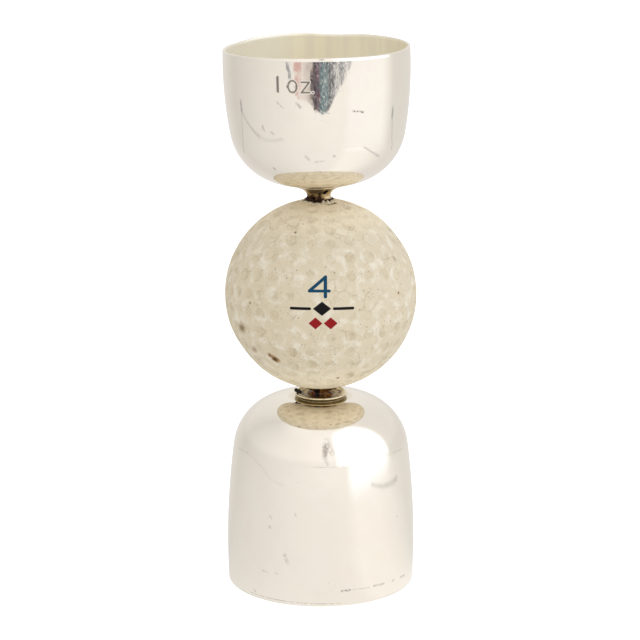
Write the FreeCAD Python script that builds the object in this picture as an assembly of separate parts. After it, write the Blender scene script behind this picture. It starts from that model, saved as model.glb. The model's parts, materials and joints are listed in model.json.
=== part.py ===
import FreeCAD, Part
import math
import os

# Two-ended bar jigger: a small and a large spun cup, joined back to back by a drilled golf ball.
# Millimetres, +Z up. The origin is the centre of the large cup's rim, which the jigger stands on.

# Cups. Depths and belly places are measured from each cup's own rim, along its axis.
cup_wall = 0.6
rim_round = 0.18
upper_depth = 29.5
upper_belly_radius = 19.7
upper_belly_depth = 3.8
upper_wall_arc = 85.0
upper_shoulder_arc = 13.0
upper_dome_arc = 43.0
lower_depth = 41.0
lower_belly_radius = 20.4
lower_belly_depth = 8.2
lower_wall_arc = 170.0
lower_shoulder_arc = 11.9
lower_dome_arc = 300.0

# Ball
ball_diameter = 41.15
cover_thickness = 2.0
sac_diameter = 26.0
sac_wall = 1.2
dimple_rows = 9
dimple_diameter = 2.75
dimple_depth = 0.28
dimple_tilt = 5.6
clear_patch_spread = 4.5

# Lean of the small cup, with its collar and glued hole, about the ball's centre, towards -X
upper_lean = 1.0

# Studs and the glued holes that they stand in
stud_diameter = 3.0
stud_chamfer = 0.3
stud_in_ball = 6.0
glue_gap = 0.35
glue_below_stud = 0.5

# Trumpet collar between the ball and the small cup
collar_height = 3.1
collar_film = 0.2
collar_foot_radius = 2.95
collar_neck_radius = 2.7
collar_neck_height = 0.9
collar_flare_radius = 4.3
collar_flare_bow = 0.3
collar_edge = 0.25
collar_screw_gap = 0.3

# Dished seat between the large cup and the ball
seat_height = 0.9
seat_standoff = 1.3
seat_lip_radius = 5.7
seat_lip_width = 0.55
seat_lip_height = 0.4
seat_foot_radius = 5.0
seat_floor = 0.4
seat_floor_radius = 2.4

# Solder and glue
solder_leg = 0.35
upper_bead_radius = 3.5
upper_bead_height = 0.55
lower_puddle_radius = 3.6
lower_puddle_height = 0.4
lower_waist_radius = 2.2
lower_neck_radius = 2.6

# Capacity mark "1 oz." stamped into the small cup, placed along the wall from the middle of the "1"
mark_depth = 0.15
mark_stroke = 0.45
mark_below_rim = 6.8
mark_azimuth = -23.6
one_height = 3.5
o_height = 2.8
o_width = 2.2
o_along = 3.1
z_height = 2.5
z_width = 2.0
z_along = 5.8
dot_along = 7.3

# Heights, from the foot up
ball_radius = ball_diameter / 2
seat_lip_z = lower_depth + seat_height
ball_bottom = seat_lip_z + seat_standoff
ball_z = ball_bottom + ball_radius
ball_top = ball_z + ball_radius
bowl_bottom = ball_top + collar_height
total_height = bowl_bottom + upper_depth

stud_radius = stud_diameter / 2
hole_radius = stud_radius + glue_gap
hole_depth = stud_in_ball + glue_below_stud
margin = 5.0
tiny = 1e-4


def vec(x, y, z):
    return FreeCAD.Vector(x, y, z)


def arc(centre, radius, start, end):
    """An arc in the XZ half-plane about a centre, the short way from start to end."""
    middle = [(start[i] + end[i]) / 2 - centre[i] for i in (0, 1)]
    stretch = radius / math.hypot(*middle)
    top = [centre[i] + middle[i] * stretch for i in (0, 1)]
    points = [vec(p[0], 0, p[1]) for p in (start, top, end)]
    return Part.Arc(*points).toShape()


def line(start, end):
    return Part.makeLine(vec(start[0], 0, start[1]), vec(end[0], 0, end[1]))


def turned(edges):
    """A solid of revolution about Z from edges that close a profile in the XZ half-plane."""
    wire = Part.Wire(Part.__sortEdges__(edges))
    body = Part.Face(wire).revolve(vec(0, 0, 0), vec(0, 0, 1), 360)
    return body if body.Volume > 0 else body.reversed()


def turned_outline(points):
    corners = points + points[:1]
    return turned([line(a, b) for a, b in zip(corners, corners[1:])])


def rod(radius, bottom, top):
    return Part.makeCylinder(radius, top - bottom, vec(0, 0, bottom))


def ball(radius):
    return Part.makeSphere(radius, vec(0, 0, ball_z))


def cup(rim_z, side, depth, belly, belly_depth, wall_arc, shoulder_arc, dome_arc, wall):
    """A spun cup with its rim at rim_z, closed on the side given as +1 or -1.

    Its wall, shoulder and dome are arcs tangent to each other. The inside is the same
    outline with every radius less by the wall, about the same centres. A wall of 0 gives
    the cup filled to the axis.
    """
    wall_centre = (belly - wall_arc, belly_depth)
    dome_centre = (0.0, depth - dome_arc)
    to_wall = wall_arc - shoulder_arc
    to_dome = dome_arc - shoulder_arc
    span = (dome_centre[0] - wall_centre[0], dome_centre[1] - wall_centre[1])
    length = math.hypot(*span)
    along = (to_wall ** 2 - to_dome ** 2 + length ** 2) / (2 * length)
    aside = math.sqrt(to_wall ** 2 - along ** 2)
    shoulder = (
        wall_centre[0] + (along * span[0] - aside * span[1]) / length,
        wall_centre[1] + (along * span[1] + aside * span[0]) / length,
    )
    other = (
        wall_centre[0] + (along * span[0] + aside * span[1]) / length,
        wall_centre[1] + (along * span[1] - aside * span[0]) / length,
    )
    if other[0] > shoulder[0]:
        shoulder = other

    def skin(inset):
        """The rim point, the arcs' joins and the axis point of one skin."""
        radius = wall_arc - inset
        rim = (wall_centre[0] + math.sqrt(radius ** 2 - belly_depth ** 2), 0.0)
        joins = []
        for centre, reach in ((wall_centre, to_wall), (dome_centre, to_dome)):
            out = [(shoulder[i] - centre[i]) / reach for i in (0, 1)]
            joins.append([shoulder[i] + out[i] * (shoulder_arc - inset) for i in (0, 1)])
        return rim, joins[0], joins[1], (0.0, depth - inset)

    def place(point):
        return (point[0], rim_z + side * point[1])

    def skin_edges(inset):
        rim, low, high, pole = [place(p) for p in skin(inset)]
        return [
            arc(place(wall_centre), wall_arc - inset, rim, low),
            arc(place(shoulder), shoulder_arc - inset, low, high),
            arc(place(dome_centre), dome_arc - inset, high, pole),
        ]

    rim, pole = place(skin(0)[0]), place(skin(0)[3])
    if wall == 0:
        centre = place((0.0, 0.0))
        return turned(skin_edges(0) + [line(rim, centre), line(centre, pole)])
    rim_in, pole_in = place(skin(wall)[0]), place(skin(wall)[3])
    shell = turned(skin_edges(0) + skin_edges(wall) + [line(rim, rim_in), line(pole, pole_in)])
    return shell.makeFillet(rim_round, edges_at(shell, rim_z))


def upper_bowl(wall):
    return cup(total_height, -1, upper_depth, upper_belly_radius, upper_belly_depth,
               upper_wall_arc, upper_shoulder_arc, upper_dome_arc, wall)


def lower_bowl(wall):
    return cup(0.0, 1, lower_depth, lower_belly_radius, lower_belly_depth,
               lower_wall_arc, lower_shoulder_arc, lower_dome_arc, wall)


def stroke(start, end):
    """A round-ended stroke of the stamp, flat in XZ, cut a set depth behind Y = 0."""
    run = vec(end[0] - start[0], 0, end[1] - start[1])
    bar = Part.makeBox(run.Length, margin + mark_depth, mark_stroke, vec(0, -margin, -mark_stroke / 2))
    bar.rotate(vec(0, 0, 0), vec(0, -1, 0), math.degrees(math.atan2(run.z, run.x)))
    bar.translate(vec(start[0], 0, start[1]))
    return bar.fuse([stamp_dot(start), stamp_dot(end)])


def stamp_dot(place):
    return Part.makeCylinder(
        mark_stroke / 2, margin + mark_depth, vec(place[0], mark_depth, place[1]), vec(0, -1, 0)
    )


def letter_one():
    return stroke((0, mark_stroke / 2), (0, one_height - mark_stroke / 2))


def oval(half_width, half_height):
    centre = vec(0, mark_depth, o_height / 2)
    long_end = centre + vec(0, 0, half_height)
    short_end = centre + vec(half_width, 0, 0)
    edge = Part.Ellipse(long_end, short_end, centre).toShape()
    return Part.Face(Part.Wire(edge)).extrude(vec(0, -margin - mark_depth, 0))


def letter_o():
    half_width = o_width / 2
    half_height = o_height / 2
    return oval(half_width, half_height).cut(oval(half_width - mark_stroke, half_height - mark_stroke))


def letter_z():
    side = (z_width - mark_stroke) / 2
    top = z_height - mark_stroke / 2
    low = mark_stroke / 2
    corners = [(-side, top), (side, top), (-side, low), (side, low)]
    strokes = [stroke(a, b) for a, b in zip(corners, corners[1:])]
    return strokes[0].fuse(strokes[1:])


def capacity_mark():
    """The mark's letters, each set square to the wall at its own place round the cup."""
    base = total_height - mark_below_rim
    radius = wall_radius(base + z_height / 2)
    full_stop = stamp_dot((0, mark_stroke / 2))
    places = ((letter_one(), 0), (letter_o(), o_along), (letter_z(), z_along), (full_stop, dot_along))
    for letter, along in places:
        letter.translate(vec(0, -radius, base))
        letter.rotate(vec(0, 0, 0), vec(0, 0, 1), mark_azimuth + math.degrees(along / radius))
    return [letter for letter, along in places]


def wall_radius(z):
    """The small cup's outside radius at a height on its wall arc."""
    rise = z - (total_height - upper_belly_depth)
    return upper_belly_radius - upper_wall_arc + math.sqrt(upper_wall_arc ** 2 - rise ** 2)


def dome_height(radius):
    """The height of the small cup's underside at a radius on its dome arc."""
    return bowl_bottom + upper_dome_arc - math.sqrt(upper_dome_arc ** 2 - radius ** 2)


def dimple_directions():
    """Unit directions of the dimples: a triangular lattice over each face of an octahedron.

    The three dimples next to each corner are left out, and the rest are drawn back from the
    front and back corners, which leaves a plain patch there for a printed device.
    """
    last = dimple_rows - 1
    tilt = FreeCAD.Rotation(vec(1, 0, 0), -dimple_tilt)
    for m in range(dimple_rows):
        for n in range(dimple_rows - m):
            k = last - m - n
            if max(m, n, k) == last:
                continue
            sines = [math.sin(math.radians(90 * (i + 0.5) / (dimple_rows + 0.5))) for i in (m, n, k)]
            for sx in (-1, 1):
                for sy in (-1, 1):
                    for sz in (-1, 1):
                        way = vec(sx * sines[0], sy * sines[1], sz * sines[2]).normalize()
                        yield tilt.multVec(spread(way))


def spread(way):
    """A direction turned away from the nearer of the front and back corners."""
    from_front = math.degrees(math.acos(-way.y))
    turned_to = math.radians(from_front + clear_patch_spread * math.cos(math.radians(from_front)))
    aside = vec(way.x, 0, way.z).normalize()
    return aside * math.sin(turned_to) + vec(0, -math.cos(turned_to), 0)


def dimples():
    half = dimple_diameter / 2
    bulge = ball_radius - math.sqrt(ball_radius ** 2 - half ** 2)
    sink = dimple_depth - bulge
    radius = (half ** 2 + sink ** 2) / (2 * sink)
    reach = ball_radius - dimple_depth + radius
    for way in dimple_directions():
        yield Part.makeSphere(radius, vec(0, 0, ball_z) + way * reach)


def stud(bottom, top, glued_end):
    """A stud with a chamfer on the end that is glued into the ball."""
    body = rod(stud_radius, bottom, top)
    return body.makeChamfer(stud_chamfer, edges_at(body, glued_end))


def edges_at(shape, z):
    return [e for e in shape.Edges if abs(e.BoundBox.ZMin - z) + abs(e.BoundBox.ZMax - z) < tiny]


def leaned(shape):
    """A shape of the small cup's end, turned with it about the ball's centre."""
    return shape.rotated(vec(0, 0, ball_z), vec(0, 1, 0), -upper_lean)


# Studs
upper_stud_end = ball_top - stud_in_ball
lower_stud_end = ball_bottom + stud_in_ball
upper_stud = stud(upper_stud_end, bowl_bottom - collar_screw_gap, upper_stud_end)
lower_stud = stud(lower_depth, lower_stud_end, lower_stud_end)
upper_hole = leaned(rod(hole_radius, ball_top - hole_depth, ball_top + margin))
lower_hole = rod(hole_radius, ball_bottom - margin, ball_bottom + hole_depth)

# Cups
upper_filled = upper_bowl(0)
lower_filled = lower_bowl(0)
upper_cup = upper_bowl(cup_wall).cut(capacity_mark())
lower_cup = lower_bowl(cup_wall)

# Ball, drilled from both ends; the drills stop short of the sac
whole_ball = ball(ball_radius)
inside_cover = ball(ball_radius - cover_thickness)
sac_outside = ball(sac_diameter / 2)
centre_paste = ball(sac_diameter / 2 - sac_wall)
ball_cover = whole_ball.cut([inside_cover, upper_hole, lower_hole]).cut(list(dimples()))
ball_windings = inside_cover.cut([sac_outside, upper_hole, lower_hole])
centre_sac = sac_outside.cut(centre_paste)

# Collar: a foot on the ball, a narrow neck and a flare up to the bowl
collar_foot_z = ball_top + collar_film
neck_z = ball_top + collar_neck_height
flare_z = bowl_bottom - collar_edge
flare_turn = collar_neck_radius + collar_flare_bow * (collar_flare_radius - collar_neck_radius)
collar_flare = Part.Arc(
    vec(collar_neck_radius, 0, neck_z),
    vec(flare_turn, 0, (neck_z + flare_z) / 2),
    vec(collar_flare_radius, 0, flare_z),
).toShape()
collar_top = bowl_bottom + margin
collar_blank = turned([
    line((stud_radius, collar_foot_z), (collar_foot_radius, collar_foot_z)),
    line((collar_foot_radius, collar_foot_z), (collar_neck_radius, neck_z)),
    collar_flare,
    line((collar_flare_radius, flare_z), (collar_flare_radius, collar_top)),
    line((collar_flare_radius, collar_top), (stud_radius, collar_top)),
    line((stud_radius, collar_top), (stud_radius, collar_foot_z)),
])
upper_collar = collar_blank.cut(upper_filled)

# Seat: a dished disc with a raised lip, undercut below the lip
lip_inside = seat_lip_radius - seat_lip_width
floor_z = lower_depth + seat_floor
seat_blank = turned_outline([
    (stud_radius, lower_depth - margin),
    (seat_foot_radius, lower_depth - margin),
    (seat_foot_radius, lower_depth),
    (seat_lip_radius, seat_lip_z - seat_lip_height),
    (seat_lip_radius, seat_lip_z),
    (lip_inside, seat_lip_z),
    (seat_floor_radius, floor_z),
    (stud_radius, floor_z),
])
lower_seat = seat_blank.cut(lower_filled)

# Solder fillets in the corners between the ferrules and the cups
upper_solder = turned_outline([
    (collar_flare_radius, flare_z),
    (collar_flare_radius + solder_leg, dome_height(collar_flare_radius + solder_leg)),
    (collar_flare_radius + solder_leg, collar_top),
    (collar_flare_radius, collar_top),
]).cut(upper_filled)
lower_solder = turned_outline([
    (seat_foot_radius, lower_depth - margin),
    (seat_foot_radius + solder_leg, lower_depth - margin),
    (seat_foot_radius + solder_leg, lower_depth),
    (seat_foot_radius, lower_depth + solder_leg),
]).cut([lower_filled, lower_seat])

# Glue: it fills each hole round the stud and stands out of it as a bead or a waisted puddle
upper_bead = turned_outline([
    (0, ball_top - upper_bead_radius),
    (upper_bead_radius, ball_top - upper_bead_radius),
    (upper_bead_radius, ball_top),
    (collar_foot_radius, ball_top + upper_bead_height),
    (0, ball_top + upper_bead_height),
]).cut(whole_ball)
upper_glue = rod(hole_radius, ball_top - hole_depth, ball_top).common(whole_ball)
upper_adhesive = upper_glue.fuse(upper_bead).cut([upper_stud, upper_collar])
puddle_top = floor_z + lower_puddle_height
neck_top = ball_bottom + lower_neck_radius
lower_puddle = turned_outline([
    (0, lower_depth),
    (lower_puddle_radius, lower_depth),
    (lower_puddle_radius, puddle_top),
    (lower_waist_radius, (puddle_top + ball_bottom) / 2),
    (lower_neck_radius, ball_bottom),
    (lower_neck_radius, neck_top),
    (0, neck_top),
]).cut(whole_ball)
lower_glue = rod(hole_radius, ball_bottom, ball_bottom + hole_depth).common(whole_ball)
lower_adhesive = lower_glue.fuse(lower_puddle).cut([lower_stud, lower_seat, lower_filled])

pieces = {
    "upper_cup": leaned(upper_cup),
    "upper_collar": leaned(upper_collar),
    "upper_solder": leaned(upper_solder),
    "upper_stud": leaned(upper_stud),
    "upper_adhesive": leaned(upper_adhesive),
    "ball_cover": ball_cover,
    "ball_windings": ball_windings,
    "centre_sac": centre_sac,
    "centre_paste": centre_paste,
    "lower_stud": lower_stud,
    "lower_adhesive": lower_adhesive,
    "lower_seat": lower_seat,
    "lower_solder": lower_solder,
    "lower_cup": lower_cup,
}

os.makedirs("parts", exist_ok=True)
for name, shape in pieces.items():
    solids = shape.Solids
    if len(solids) != 1 or not shape.isValid():
        raise SystemExit(f"{name}: {len(solids)} solids, valid {shape.isValid()}")
    solids[0].exportStep(f"parts/{name}.step")
    print(f"{name}: {solids[0].Volume:.1f} mm3")

well_volumes = (upper_filled.Volume - upper_bowl(cup_wall).Volume, lower_filled.Volume - lower_cup.Volume)
print("wells hold {:.1f} ml and {:.1f} ml".format(*(v / 1000 for v in well_volumes)))
print(f"height {leaned(upper_cup).BoundBox.ZMax:.3f} mm")
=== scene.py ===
import json
import math

import bmesh
import bpy
from mathutils import Matrix, Vector, noise


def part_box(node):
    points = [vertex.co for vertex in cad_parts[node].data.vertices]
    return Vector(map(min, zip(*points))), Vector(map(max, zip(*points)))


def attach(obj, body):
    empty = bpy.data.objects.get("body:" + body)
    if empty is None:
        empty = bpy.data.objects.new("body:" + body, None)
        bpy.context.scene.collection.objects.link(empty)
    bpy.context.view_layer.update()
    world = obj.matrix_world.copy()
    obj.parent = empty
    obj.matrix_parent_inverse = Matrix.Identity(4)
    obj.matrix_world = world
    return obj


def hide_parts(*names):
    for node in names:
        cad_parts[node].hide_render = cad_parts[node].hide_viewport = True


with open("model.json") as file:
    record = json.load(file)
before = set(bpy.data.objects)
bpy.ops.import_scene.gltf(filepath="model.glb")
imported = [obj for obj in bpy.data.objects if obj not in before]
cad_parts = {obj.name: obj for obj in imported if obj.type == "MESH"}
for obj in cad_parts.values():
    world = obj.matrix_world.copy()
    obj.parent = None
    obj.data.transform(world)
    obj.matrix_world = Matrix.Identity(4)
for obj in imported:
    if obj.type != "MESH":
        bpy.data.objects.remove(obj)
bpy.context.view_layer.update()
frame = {"nodes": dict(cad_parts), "record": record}

mm = 0.001
nodes = frame["nodes"]
mounts = {mount["name"]: mount for mount in frame["record"]["mounts"]}

# The ball, the cups' heights and the small cup's lean all come from the frame
ballLow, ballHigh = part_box("ball_cover")
sacLow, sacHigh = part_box("centre_sac")
ballCentre = Vector((0, 0, (sacLow.z + sacHigh.z) / 2))
ballRadius = (ballHigh.x - ballLow.x) / 2
topAxis = Vector(mounts["top_rim"]["axis"])
lean = math.atan2(topAxis.x, topAxis.z)
leanTurn = Matrix.Rotation(lean, 3, "Y")
rimUpright = leanTurn.inverted() @ (Vector(mounts["top_rim"]["pos_m"]) - ballCentre) + ballCentre
rimHeight = rimUpright.z


def clamped(value):
    return max(0, min(1, value))


def eased(value):  # 0 to 1 with soft ends
    share = clamped(value)
    return share * share * (3 - 2 * share)


def bulge(reach):  # 1 in the middle, 0 from a reach of 1 on, smooth between
    return (1 - min(1, reach) ** 2) ** 2


def wayTo(azimuth, elevation):  # azimuth 0 is the front, and grows to the right
    az = math.radians(azimuth)
    el = math.radians(elevation)
    return Vector((math.sin(az) * math.cos(el), -math.cos(az) * math.cos(el), math.sin(el)))


def spotAt(azimuth, distance, up):
    return wayTo(azimuth, 0) * distance + Vector((0, 0, up))


def turnedFrom(azimuth, point):  # degrees round Z between an azimuth and a point
    return abs((math.degrees(math.atan2(point.x, -point.y)) - azimuth + 180) % 360 - 180)


def outward(point):
    return Vector((point.x, point.y, 0)).normalized()


def seedShift(seed):
    return Vector((seed, seed * 2, seed * 3))


def operator(kind):  # an operator and its reflected form, so that 1 - mask works
    def plain(self, other):
        return self.maths(kind, self, other)

    def reflected(self, other):
        return self.maths(kind, other, self)

    return plain, reflected


class Signal:  # a shader socket that can be used in plain sums
    def __init__(self, finish, socket):
        self.finish = finish
        self.socket = socket

    def maths(self, operation, *values):
        return self.finish.node("ShaderNodeMath", {"operation": operation}, dict(enumerate(values)))

    __add__, __radd__ = operator("ADD")
    __sub__, __rsub__ = operator("SUBTRACT")
    __mul__, __rmul__ = operator("MULTIPLY")
    __truediv__, __rtruediv__ = operator("DIVIDE")

    def __pow__(self, other):
        return self.maths("POWER", self, other)

    def __abs__(self):
        return self.maths("ABSOLUTE", self)

    def least(self, other):
        return self.maths("MINIMUM", self, other)

    def most(self, other):
        return self.maths("MAXIMUM", self, other)

    def rise(self, start, end, first=0, last=1):  # 0 before start, 1 after end, smooth between
        inputs = {0: self, 1: start, 2: end, 3: first, 4: last}
        return self.finish.node("ShaderNodeMapRange", {"interpolation_type": "SMOOTHSTEP"}, inputs)

    def fall(self, start, end):  # 1 before start, 0 after end
        return self.rise(start, end, 1, 0)


class Nodes:
    def __init__(self, tree):
        self.tree = tree

    def node(self, kind, settings=None, inputs=None, out=0):
        made = self.tree.nodes.new(kind)
        for name, value in (settings or {}).items():
            if name == "stops":
                self.setStops(made.color_ramp.elements, value)
            else:
                setattr(made, name, value)
        for name, value in (inputs or {}).items():
            self.feed(made.inputs[name], value)
        return Signal(self, made.outputs[out])

    def setStops(self, elements, stops):
        while len(elements) < len(stops):
            elements.new(0.5)
        for element, (place, colour) in zip(elements, stops):
            element.position = place
            element.color = (*colour, 1)

    def feed(self, socket, value):
        if isinstance(value, Signal):
            self.tree.links.new(value.socket, socket)
        else:
            socket.default_value = value

    def place(self):
        return self.node("ShaderNodeTexCoord", out="Object")

    def mapped(self, location=(0, 0, 0), turn=(0, 0, 0), scale=(1, 1, 1)):
        inputs = {"Vector": self.place(), "Location": location, "Rotation": turn, "Scale": scale}
        return self.node("ShaderNodeMapping", {"vector_type": "TEXTURE"}, inputs)

    def axes(self, vector, wanted="XYZ"):
        return [self.node("ShaderNodeSeparateXYZ", None, {0: vector}, out) for out in wanted]

    def mmAxes(self, location=(0, 0, 0), turn=(0, 0, 0), wanted="XYZ"):  # places in mm
        return self.axes(self.mapped(location, turn, (mm, mm, mm)), wanted)

    def joined(self, x, y):
        return self.node("ShaderNodeCombineXYZ", None, {0: x, 1: y})

    def scaled(self, vector, factor):
        return self.node("ShaderNodeVectorMath", {"operation": "SCALE"}, {0: vector, 3: factor})

    def grain(self, size, detail=3, roughness=0.5, vector=None):
        inputs = {"Vector": vector or self.place(), "Scale": 1 / size}
        inputs.update({"Detail": detail, "Roughness": roughness})
        return self.node("ShaderNodeTexNoise", None, inputs)

    def patches(self, size):
        return self.grain(size, detail=4, roughness=0.6)

    def cells(self, size, feature="F1", vector=None):
        inputs = {"Vector": vector or self.place(), "Scale": 1 / size}
        return self.node("ShaderNodeTexVoronoi", {"feature": feature}, inputs, "Distance")

    # specks or cracks, in patches
    def flecks(self, size, edge, patchSize, patchEdge, feature="F1", vector=None):
        specks = self.cells(size, feature, vector).fall(*edge)
        return specks * self.grain(patchSize, detail=1).rise(*patchEdge)

    def carried(self, name):  # a value kept on the piece's own points
        return self.node("ShaderNodeAttribute", {"attribute_name": name}, out="Fac")

    def away(self, spot):
        inputs = {0: self.place(), 1: spot}
        return self.node("ShaderNodeVectorMath", {"operation": "DISTANCE"}, inputs, "Value")

    def mix(self, factor, first, second):
        first, second = [(*tint, 1) if isinstance(tint, tuple) else tint for tint in (first, second)]
        return self.node("ShaderNodeMix", {"data_type": "RGBA"}, {0: factor, 6: first, 7: second}, out=2)

    def bump(self, height, depth, below=None):
        inputs = {"Height": height, "Distance": depth, "Strength": 1}
        if below:
            inputs["Normal"] = below
        return self.node("ShaderNodeBump", None, inputs)

    def bumps(self, size, depth, detail=2, below=None):
        return self.bump(self.grain(size, detail), depth, below)


class Finish(Nodes):
    def __init__(self, name, **constants):
        self.material = bpy.data.materials.new(name)
        self.material.use_nodes = True
        super().__init__(self.material.node_tree)
        self.shader = self.tree.nodes["Principled BSDF"]
        for socket, value in constants.items():
            self.set(socket.replace("_", " "), value)

    def set(self, name, value):
        self.feed(self.shader.inputs[name], (*value, 1) if isinstance(value, tuple) else value)

    def coat(self, mask, colour):  # lays one more colour over those so far
        self.colour = self.mix(mask, self.colour, colour)

    def end(self, roughness, normal):
        self.set("Base Color", self.colour)
        self.set("Roughness", roughness)
        self.set("Normal", normal)
        return self


# Masks are drawn on a flat pair of axes, from side to side and up
def lineMask(x, z, start, end, halfWidth, soft=0.05):
    runX = end[0] - start[0]
    runZ = end[1] - start[1]
    share = ((x - start[0]) * runX + (z - start[1]) * runZ) / (runX ** 2 + runZ ** 2)
    share = share.most(0).least(1)
    offX = x - start[0] - share * runX
    offZ = z - start[1] - share * runZ
    away = (offX * offX + offZ * offZ) ** 0.5
    return away.fall(halfWidth - soft, halfWidth + soft)


def diamondMask(x, z, place, halfWidth, halfHeight, soft=0.06):
    reach = abs(x - place[0]) / halfWidth + abs(z - place[1]) / halfHeight
    return reach.fall(1 - soft, 1 + soft)


def turnedRound(mesh, segments):  # closed about Z, with its faces out
    bmesh.ops.spin(mesh, geom=mesh.verts[:] + mesh.edges[:], cent=(0, 0, 0), axis=(0, 0, 1),
                   angle=2 * math.pi, steps=segments, use_merge=True)
    bmesh.ops.remove_doubles(mesh, verts=mesh.verts[:], dist=1e-6)
    bmesh.ops.recalc_face_normals(mesh, faces=mesh.faces[:])
    return mesh


class Outline:  # a line of points in the XZ plane, drawn bit by bit and then turned about Z
    def __init__(self, x, z):
        self.mesh = bmesh.new()
        self.last = self.mesh.verts.new((x, 0, z))

    def lineTo(self, x, z, steps=1):
        step = (Vector((x, 0, z)) - self.last.co) / steps
        for _ in range(steps):
            self.last = bmesh.ops.extrude_vert_indiv(self.mesh, verts=[self.last])["verts"][0]
            bmesh.ops.translate(self.mesh, verts=[self.last], vec=step)

    def arcTo(self, centreX, centreZ, x, z, steps):
        start = math.atan2(self.last.co.x - centreX, self.last.co.z - centreZ)
        angle = math.atan2(x - centreX, z - centreZ) - start
        angle = (angle + math.pi) % (2 * math.pi) - math.pi
        made = bmesh.ops.spin(self.mesh, geom=[self.last], cent=(centreX, 0, centreZ), axis=(0, 1, 0),
                              angle=angle, steps=steps, use_duplicate=False)
        self.last = next(part for part in made["geom_last"] if isinstance(part, bmesh.types.BMVert))

    def turned(self, segments):
        bmesh.ops.remove_doubles(self.mesh, verts=self.mesh.verts[:], dist=1e-7)
        return turnedRound(self.mesh, segments)


def meshObject(name, mesh, finish):
    for face in mesh.faces:
        face.smooth = True
    data = bpy.data.meshes.new(name)
    mesh.to_mesh(data)
    mesh.free()
    data.materials.append(finish.material)
    made = bpy.data.objects.new(name, data)
    bpy.context.scene.collection.objects.link(made)
    return made


def addPiece(name, mesh, finish, replaced=()):
    piece = meshObject(name, mesh, finish)
    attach(piece, "root")
    if replaced:
        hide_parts(*replaced)


def leaned(mesh):
    bmesh.ops.rotate(mesh, verts=mesh.verts[:], cent=ballCentre, matrix=leanTurn)
    return mesh


view = {"place": (-0.16 * mm, -508.5 * mm, 192 * mm), "pitch": 0.258, "lens": 137.85, "sensor": 36}
camera = bpy.data.objects.new("camera", bpy.data.cameras.new("camera"))
camera.location = view["place"]
camera.rotation_euler = (math.pi / 2 - view["pitch"], 0, 0)
camera.data.lens = view["lens"]
camera.data.sensor_width = view["sensor"]
bpy.context.scene.collection.objects.link(camera)
bpy.context.scene.camera = camera
bpy.context.scene.view_settings.view_transform = "Standard"

# The studio: a pale tent, brighter in front, with one large soft window at the right. Levels are given
# round the object, as azimuth and brightness: "around" for the tent, "below" for the sheet close by
room = {
    "tint": (0.85, 0.824, 0.79),
    "overhead": 1.18, "overheadRise": (48, 78), "skyLift": 0.08, "skyRise": (2, 16),
    "window": (1.3, 1.31, 1.36), "windowAt": (60, 22), "windowHalf": (39, 46), "windowSquareness": 4,
    "windowFade": (0.7, 1.35),
    "litFloor": (1.03, 1.01, 1.0), "litFrom": (30, 43), "litTo": (84, 101),
    "nearFloor": (0.08, 0.34), "farFloor": (0.12, 0.3),
    "around": [(-180, 0.95), (-150, 0.9), (-120, 0.79), (-95, 0.87), (-60, 0.99), (-30, 1.06), (-12, 1.12),
               (20, 1.16), (97, 1.06), (106, 0.92), (118, 0.9), (150, 0.9), (180, 0.95)],
    "below": [(-180, 0.98), (-150, 0.9), (-120, 0.84), (-95, 0.9), (-60, 0.975), (-30, 1.04), (0, 1.08),
              (28, 1.12), (42, 1.2), (70, 1.18), (90, 1.1), (104, 1.02), (120, 0.94), (150, 0.93),
              (180, 0.98)],
}


def inDegrees(angle):
    return angle * (180 / math.pi)


def degreesRound(x, y):  # 0 at the front, growing to the right
    return inDegrees(x.maths("ARCTAN2", x, 0 - y))


def roundShare(azimuth):  # 0 and 1 at the back, 0.5 at the front
    return (azimuth + 180) / 360


def tinted(level):
    return tuple(part * level for part in room["tint"])


def levelsRound(nodes, azimuth, levels):
    stops = [(roundShare(place), tinted(level)) for place, level in levels]
    return nodes.node("ShaderNodeValToRGB", {"stops": stops}, {0: roundShare(azimuth)})


world = bpy.data.worlds.new("softRoom")
world.use_nodes = True
bpy.context.scene.world = world
sky = Nodes(world.node_tree)
skyX, skyY, skyZ = sky.axes(sky.node("ShaderNodeTexCoord", out="Generated"))
skyAzimuth = degreesRound(skyX, skyY)
skyHeight = inDegrees(skyZ.maths("ARCSINE", skyZ))
besideWindow = (abs(skyAzimuth - room["windowAt"][0]) / room["windowHalf"][0]) ** room["windowSquareness"]
aboveWindow = (abs(skyHeight - room["windowAt"][1]) / room["windowHalf"][1]) ** room["windowSquareness"]
lift = 1 + skyHeight.rise(*room["skyRise"]) * room["skyLift"]
skyColour = sky.scaled(levelsRound(sky, skyAzimuth, room["around"]), lift)
skyColour = sky.mix(skyHeight.rise(*room["overheadRise"]), skyColour, tinted(room["overhead"]))
skyColour = sky.mix((besideWindow + aboveWindow).fall(*room["windowFade"]), skyColour, room["window"])
sky.feed(world.node_tree.nodes["Background"].inputs["Color"], skyColour)

floorLook = {"radius": 3.0, "segments": 96, "colour": (0.5, 0.5, 0.5), "roughness": 0.95,
             "glow": (1, 1, 1), "strength": 0.95}


def disc(height):
    mesh = bmesh.new()
    bmesh.ops.create_circle(mesh, cap_ends=True, segments=floorLook["segments"], radius=floorLook["radius"])
    bmesh.ops.translate(mesh, verts=mesh.verts[:], vec=(0, 0, height))
    return mesh


def panel(corners):
    mesh = bmesh.new()
    bmesh.ops.contextual_create(mesh, geom=[mesh.verts.new(corner) for corner in corners])
    return mesh


floorFinish = Finish("paleFloor", Base_Color=floorLook["colour"], Roughness=floorLook["roughness"],
                     Emission_Color=floorLook["glow"], Emission_Strength=floorLook["strength"])
floor = meshObject("floor", disc(0), floorFinish)
floor.visible_glossy = False
floor.visible_diffuse = False


def glowFinish(name):
    return Finish(name, Base_Color=(0, 0, 0), Roughness=1.0, Specular_IOR_Level=0.0, Emission_Strength=1.0)


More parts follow.
